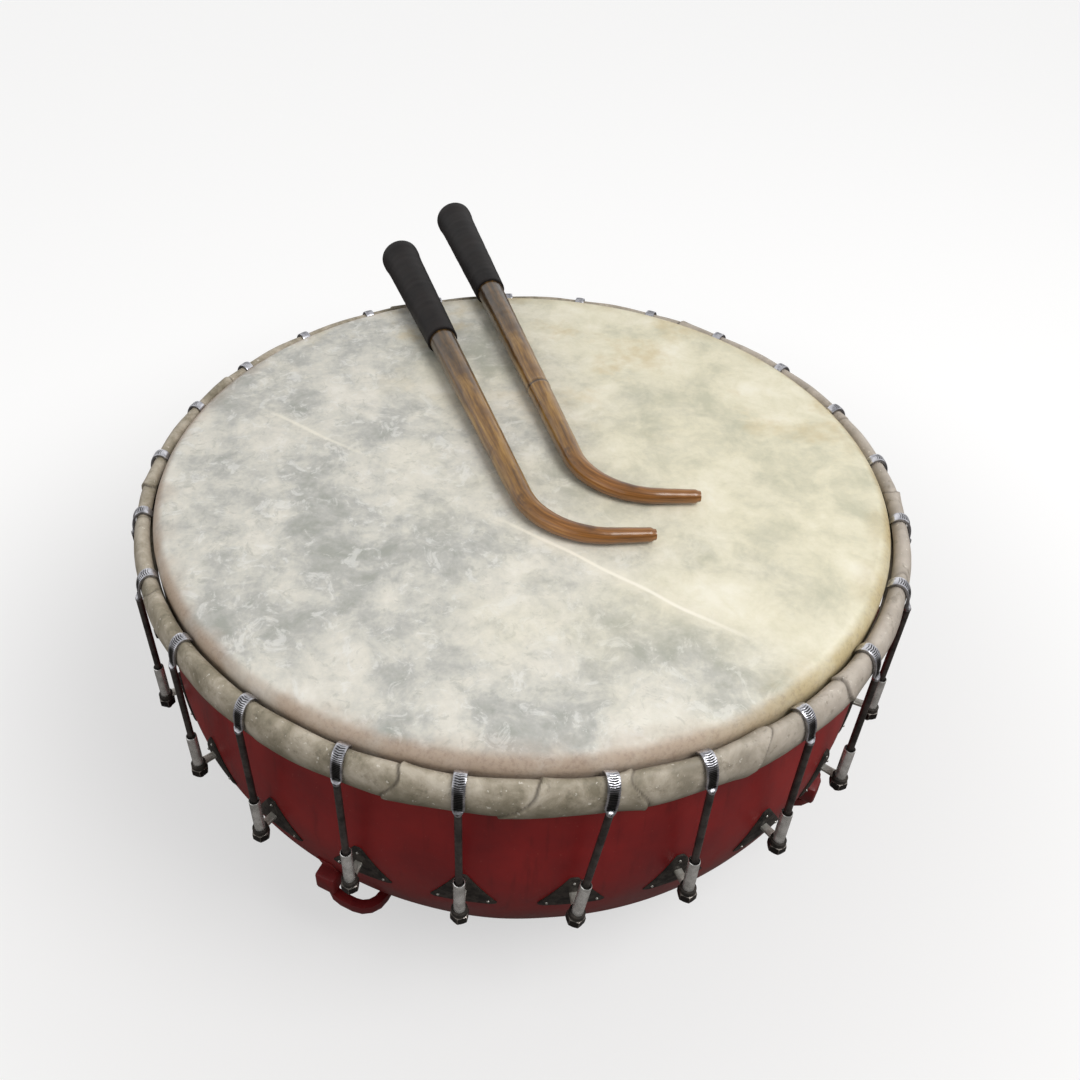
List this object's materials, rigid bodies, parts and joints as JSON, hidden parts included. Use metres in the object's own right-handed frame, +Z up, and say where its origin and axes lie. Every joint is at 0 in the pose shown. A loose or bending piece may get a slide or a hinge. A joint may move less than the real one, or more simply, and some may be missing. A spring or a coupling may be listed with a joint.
{
  "type": "kettle drum with tuning hooks and beaters",
  "caption": "Large hemispherical kettle drum: lacquered bowl, hide head lapped on a hoop, hooked tuning rods with lugs and nuts, strap loops, and two bent cane beaters on the head.",
  "frame": {"origin": "centre of the bowl's flat base, on the floor", "axes": "+Z up through the head, -Y towards the front, +X to the right of the front"},
  "size_m": [0.7099, 0.857, 0.3755],
  "materials": {
    "bowl": "gloss",
    "hide": "satin",
    "hoop": "matte",
    "hook": "worn zinc",
    "nut": "blackened",
    "cane": "varnished",
    "grip": "satin"
  },
  "bodies": {
    "drum": {"kettle_bowl": "bowl", "hide_head": "hide", "flesh_hoop": "hoop", "strap_loop_1": "bowl", "strap_loop_2": "bowl"},
    "hook_01": {"tuning_hook_01": "hook"},
    "nut_01": {"tuning_nut_01": "nut"},
    "hook_02": {"tuning_hook_02": "hook"},
    "nut_02": {"tuning_nut_02": "nut"},
    "hook_03": {"tuning_hook_03": "hook"},
    "nut_03": {"tuning_nut_03": "nut"},
    "hook_04": {"tuning_hook_04": "hook"},
    "nut_04": {"tuning_nut_04": "nut"},
    "hook_05": {"tuning_hook_05": "hook"},
    "nut_05": {"tuning_nut_05": "nut"},
    "hook_06": {"tuning_hook_06": "hook"},
    "nut_06": {"tuning_nut_06": "nut"},
    "hook_07": {"tuning_hook_07": "hook"},
    "nut_07": {"tuning_nut_07": "nut"},
    "hook_08": {"tuning_hook_08": "hook"},
    "nut_08": {"tuning_nut_08": "nut"},
    "hook_09": {"tuning_hook_09": "hook"},
    "nut_09": {"tuning_nut_09": "nut"},
    "hook_10": {"tuning_hook_10": "hook"},
    "nut_10": {"tuning_nut_10": "nut"},
    "hook_11": {"tuning_hook_11": "hook"},
    "nut_11": {"tuning_nut_11": "nut"},
    "hook_12": {"tuning_hook_12": "hook"},
    "nut_12": {"tuning_nut_12": "nut"},
    "hook_13": {"tuning_hook_13": "hook"},
    "nut_13": {"tuning_nut_13": "nut"},
    "hook_14": {"tuning_hook_14": "hook"},
    "nut_14": {"tuning_nut_14": "nut"},
    "hook_15": {"tuning_hook_15": "hook"},
    "nut_15": {"tuning_nut_15": "nut"},
    "hook_16": {"tuning_hook_16": "hook"},
    "nut_16": {"tuning_nut_16": "nut"},
    "hook_17": {"tuning_hook_17": "hook"},
    "nut_17": {"tuning_nut_17": "nut"},
    "hook_18": {"tuning_hook_18": "hook"},
    "nut_18": {"tuning_nut_18": "nut"},
    "hook_19": {"tuning_hook_19": "hook"},
    "nut_19": {"tuning_nut_19": "nut"},
    "hook_20": {"tuning_hook_20": "hook"},
    "nut_20": {"tuning_nut_20": "nut"},
    "hook_21": {"tuning_hook_21": "hook"},
    "nut_21": {"tuning_nut_21": "nut"},
    "hook_22": {"tuning_hook_22": "hook"},
    "nut_22": {"tuning_nut_22": "nut"},
    "hook_23": {"tuning_hook_23": "hook"},
    "nut_23": {"tuning_nut_23": "nut"},
    "hook_24": {"tuning_hook_24": "hook"},
    "nut_24": {"tuning_nut_24": "nut"},
    "hook_25": {"tuning_hook_25": "hook"},
    "nut_25": {"tuning_nut_25": "nut"},
    "stick_1": {"stick_1_cane": "cane", "stick_1_grip": "grip"},
    "stick_2": {"stick_2_cane": "cane", "stick_2_grip": "grip"}
  },
  "joints": [
    {"name": "nut_01_turn", "type": "hinge", "parent": "drum", "child": "nut_01", "pos_m": [0.02344, -0.34872, 0.17151], "axis": [-0.1169, -0.0107, -0.9931], "range_deg": [0, 1805]},
    {"name": "hook_01_rise", "type": "slide", "parent": "drum", "child": "hook_01", "axis": [0.1169, 0.0107, 0.9931], "range_m": [0, 0.005]},
    {"name": "nut_02_turn", "type": "hinge", "parent": "drum", "child": "nut_02", "pos_m": [0.11031, -0.33162, 0.17145], "axis": [0, 0, -1], "range_deg": [0, 1805]},
    {"name": "hook_02_rise", "type": "slide", "parent": "drum", "child": "hook_02", "axis": [0, 0, 1], "range_m": [0, 0.005]},
    {"name": "nut_03_turn", "type": "hinge", "parent": "drum", "child": "nut_03", "pos_m": [0.18932, -0.29377, 0.17145], "axis": [0, 0, -1], "range_deg": [0, 1805]},
    {"name": "hook_03_rise", "type": "slide", "parent": "drum", "child": "hook_03", "axis": [0, 0, 1], "range_m": [0, 0.005]},
    {"name": "nut_04_turn", "type": "hinge", "parent": "drum", "child": "nut_04", "pos_m": [0.25643, -0.23745, 0.17145], "axis": [0, 0, -1], "range_deg": [0, 1805]},
    {"name": "hook_04_rise", "type": "slide", "parent": "drum", "child": "hook_04", "axis": [0, 0, 1], "range_m": [0, 0.005]},
    {"name": "nut_05_turn", "type": "hinge", "parent": "drum", "child": "nut_05", "pos_m": [0.30743, -0.16622, 0.17145], "axis": [0, 0, -1], "range_deg": [0, 1805]},
    {"name": "hook_05_rise", "type": "slide", "parent": "drum", "child": "hook_05", "axis": [0, 0, 1], "range_m": [0, 0.005]},
    {"name": "nut_06_turn", "type": "hinge", "parent": "drum", "child": "nut_06", "pos_m": [0.3391, -0.08455, 0.17145], "axis": [0, 0, -1], "range_deg": [0, 1805]},
    {"name": "hook_06_rise", "type": "slide", "parent": "drum", "child": "hook_06", "axis": [0, 0, 1], "range_m": [0, 0.005]},
    {"name": "nut_07_turn", "type": "hinge", "parent": "drum", "child": "nut_07", "pos_m": [0.34948, 0.00244, 0.17145], "axis": [0, 0, -1], "range_deg": [0, 1805]},
    {"name": "hook_07_rise", "type": "slide", "parent": "drum", "child": "hook_07", "axis": [0, 0, 1], "range_m": [0, 0.005]},
    {"name": "nut_08_turn", "type": "hinge", "parent": "drum", "child": "nut_08", "pos_m": [0.33789, 0.08927, 0.17145], "axis": [0, 0, -1], "range_deg": [0, 1805]},
    {"name": "hook_08_rise", "type": "slide", "parent": "drum", "child": "hook_08", "axis": [0, 0, 1], "range_m": [0, 0.005]},
    {"name": "nut_09_turn", "type": "hinge", "parent": "drum", "child": "nut_09", "pos_m": [0.30507, 0.1705, 0.17145], "axis": [0, 0, -1], "range_deg": [0, 1805]},
    {"name": "hook_09_rise", "type": "slide", "parent": "drum", "child": "hook_09", "axis": [0, 0, 1], "range_m": [0, 0.005]},
    {"name": "nut_10_turn", "type": "hinge", "parent": "drum", "child": "nut_10", "pos_m": [0.25309, 0.24101, 0.17145], "axis": [0, 0, -1], "range_deg": [0, 1805]},
    {"name": "hook_10_rise", "type": "slide", "parent": "drum", "child": "hook_10", "axis": [0, 0, 1], "range_m": [0, 0.005]},
    {"name": "nut_11_turn", "type": "hinge", "parent": "drum", "child": "nut_11", "pos_m": [0.1852, 0.29638, 0.17145], "axis": [0, 0, -1], "range_deg": [0, 1805]},
    {"name": "hook_11_rise", "type": "slide", "parent": "drum", "child": "hook_11", "axis": [0, 0, 1], "range_m": [0, 0.005]},
    {"name": "nut_12_turn", "type": "hinge", "parent": "drum", "child": "nut_12", "pos_m": [0.10567, 0.33313, 0.17145], "axis": [0, 0, -1], "range_deg": [0, 1805]},
    {"name": "hook_12_rise", "type": "slide", "parent": "drum", "child": "hook_12", "axis": [0, 0, 1], "range_m": [0, 0.005]},
    {"name": "nut_13_turn", "type": "hinge", "parent": "drum", "child": "nut_13", "pos_m": [0.01951, 0.34894, 0.17145], "axis": [0, 0, -1], "range_deg": [0, 1805]},
    {"name": "hook_13_rise", "type": "slide", "parent": "drum", "child": "hook_13", "axis": [0, 0, 1], "range_m": [0, 0.005]},
    {"name": "nut_14_turn", "type": "hinge", "parent": "drum", "child": "nut_14", "pos_m": [-0.06788, 0.34283, 0.17145], "axis": [0, 0, -1], "range_deg": [0, 1805]},
    {"name": "hook_14_rise", "type": "slide", "parent": "drum", "child": "hook_14", "axis": [0, 0, 1], "range_m": [0, 0.005]},
    {"name": "nut_15_turn", "type": "hinge", "parent": "drum", "child": "nut_15", "pos_m": [-0.15101, 0.31518, 0.17145], "axis": [0, 0, -1], "range_deg": [0, 1805]},
    {"name": "hook_15_rise", "type": "slide", "parent": "drum", "child": "hook_15", "axis": [0, 0, 1], "range_m": [0, 0.005]},
    {"name": "nut_16_turn", "type": "hinge", "parent": "drum", "child": "nut_16", "pos_m": [-0.22465, 0.26772, 0.17145], "axis": [0, 0, -1], "range_deg": [0, 1805]},
    {"name": "hook_16_rise", "type": "slide", "parent": "drum", "child": "hook_16", "axis": [0, 0, 1], "range_m": [0, 0.005]},
    {"name": "nut_17_turn", "type": "hinge", "parent": "drum", "child": "nut_17", "pos_m": [-0.28417, 0.20344, 0.17145], "axis": [0, 0, -1], "range_deg": [0, 1805]},
    {"name": "hook_17_rise", "type": "slide", "parent": "drum", "child": "hook_17", "axis": [0, 0, 1], "range_m": [0, 0.005]},
    {"name": "nut_18_turn", "type": "hinge", "parent": "drum", "child": "nut_18", "pos_m": [-0.32583, 0.12638, 0.17145], "axis": [0, 0, -1], "range_deg": [0, 1805]},
    {"name": "hook_18_rise", "type": "slide", "parent": "drum", "child": "hook_18", "axis": [0, 0, 1], "range_m": [0, 0.005]},
    {"name": "nut_19_turn", "type": "hinge", "parent": "drum", "child": "nut_19", "pos_m": [-0.34703, 0.04138, 0.17145], "axis": [0, 0, -1], "range_deg": [0, 1805]},
    {"name": "hook_19_rise", "type": "slide", "parent": "drum", "child": "hook_19", "axis": [0, 0, 1], "range_m": [0, 0.005]},
    {"name": "nut_20_turn", "type": "hinge", "parent": "drum", "child": "nut_20", "pos_m": [-0.34642, -0.04622, 0.17145], "axis": [0, 0, -1], "range_deg": [0, 1805]},
    {"name": "hook_20_rise", "type": "slide", "parent": "drum", "child": "hook_20", "axis": [0, 0, 1], "range_m": [0, 0.005]},
    {"name": "nut_21_turn", "type": "hinge", "parent": "drum", "child": "nut_21", "pos_m": [-0.32404, -0.13092, 0.17145], "axis": [0, 0, -1], "range_deg": [0, 1805]},
    {"name": "hook_21_rise", "type": "slide", "parent": "drum", "child": "hook_21", "axis": [0, 0, 1], "range_m": [0, 0.005]},
    {"name": "nut_22_turn", "type": "hinge", "parent": "drum", "child": "nut_22", "pos_m": [-0.2813, -0.20739, 0.17145], "axis": [0, 0, -1], "range_deg": [0, 1805]},
    {"name": "hook_22_rise", "type": "slide", "parent": "drum", "child": "hook_22", "axis": [0, 0, 1], "range_m": [0, 0.005]},
    {"name": "nut_23_turn", "type": "hinge", "parent": "drum", "child": "nut_23", "pos_m": [-0.22088, -0.27083, 0.17145], "axis": [0, 0, -1], "range_deg": [0, 1805]},
    {"name": "hook_23_rise", "type": "slide", "parent": "drum", "child": "hook_23", "axis": [0, 0, 1], "range_m": [0, 0.005]},
    {"name": "nut_24_turn", "type": "hinge", "parent": "drum", "child": "nut_24", "pos_m": [-0.14659, -0.31726, 0.17145], "axis": [0, 0, -1], "range_deg": [0, 1805]},
    {"name": "hook_24_rise", "type": "slide", "parent": "drum", "child": "hook_24", "axis": [0, 0, 1], "range_m": [0, 0.005]},
    {"name": "nut_25_turn", "type": "hinge", "parent": "drum", "child": "nut_25", "pos_m": [-0.06309, -0.34374, 0.17145], "axis": [0, 0, -1], "range_deg": [0, 1805]},
    {"name": "hook_25_rise", "type": "slide", "parent": "drum", "child": "hook_25", "axis": [0, 0, 1], "range_m": [0, 0.005]},
    {"name": "stick_1_lift", "type": "slide", "parent": "drum", "child": "stick_1", "axis": [0, 0, 1], "range_m": [0, 0.25]},
    {"name": "stick_2_lift", "type": "slide", "parent": "drum", "child": "stick_2", "axis": [0, 0, 1], "range_m": [0, 0.25]}
  ],
  "couplings": [
    {"joint": "nut_01_turn", "follows": "hook_01_rise", "rad_per_m": 6283.2},
    {"joint": "nut_02_turn", "follows": "hook_02_rise", "rad_per_m": 6283.2},
    {"joint": "nut_03_turn", "follows": "hook_03_rise", "rad_per_m": 6283.2},
    {"joint": "nut_04_turn", "follows": "hook_04_rise", "rad_per_m": 6283.2},
    {"joint": "nut_05_turn", "follows": "hook_05_rise", "rad_per_m": 6283.2},
    {"joint": "nut_06_turn", "follows": "hook_06_rise", "rad_per_m": 6283.2},
    {"joint": "nut_07_turn", "follows": "hook_07_rise", "rad_per_m": 6283.2},
    {"joint": "nut_08_turn", "follows": "hook_08_rise", "rad_per_m": 6283.2},
    {"joint": "nut_09_turn", "follows": "hook_09_rise", "rad_per_m": 6283.2},
    {"joint": "nut_10_turn", "follows": "hook_10_rise", "rad_per_m": 6283.2},
    {"joint": "nut_11_turn", "follows": "hook_11_rise", "rad_per_m": 6283.2},
    {"joint": "nut_12_turn", "follows": "hook_12_rise", "rad_per_m": 6283.2},
    {"joint": "nut_13_turn", "follows": "hook_13_rise", "rad_per_m": 6283.2},
    {"joint": "nut_14_turn", "follows": "hook_14_rise", "rad_per_m": 6283.2},
    {"joint": "nut_15_turn", "follows": "hook_15_rise", "rad_per_m": 6283.2},
    {"joint": "nut_16_turn", "follows": "hook_16_rise", "rad_per_m": 6283.2},
    {"joint": "nut_17_turn", "follows": "hook_17_rise", "rad_per_m": 6283.2},
    {"joint": "nut_18_turn", "follows": "hook_18_rise", "rad_per_m": 6283.2},
    {"joint": "nut_19_turn", "follows": "hook_19_rise", "rad_per_m": 6283.2},
    {"joint": "nut_20_turn", "follows": "hook_20_rise", "rad_per_m": 6283.2},
    {"joint": "nut_21_turn", "follows": "hook_21_rise", "rad_per_m": 6283.2},
    {"joint": "nut_22_turn", "follows": "hook_22_rise", "rad_per_m": 6283.2},
    {"joint": "nut_23_turn", "follows": "hook_23_rise", "rad_per_m": 6283.2},
    {"joint": "nut_24_turn", "follows": "hook_24_rise", "rad_per_m": 6283.2},
    {"joint": "nut_25_turn", "follows": "hook_25_rise", "rad_per_m": 6283.2}
  ]
}
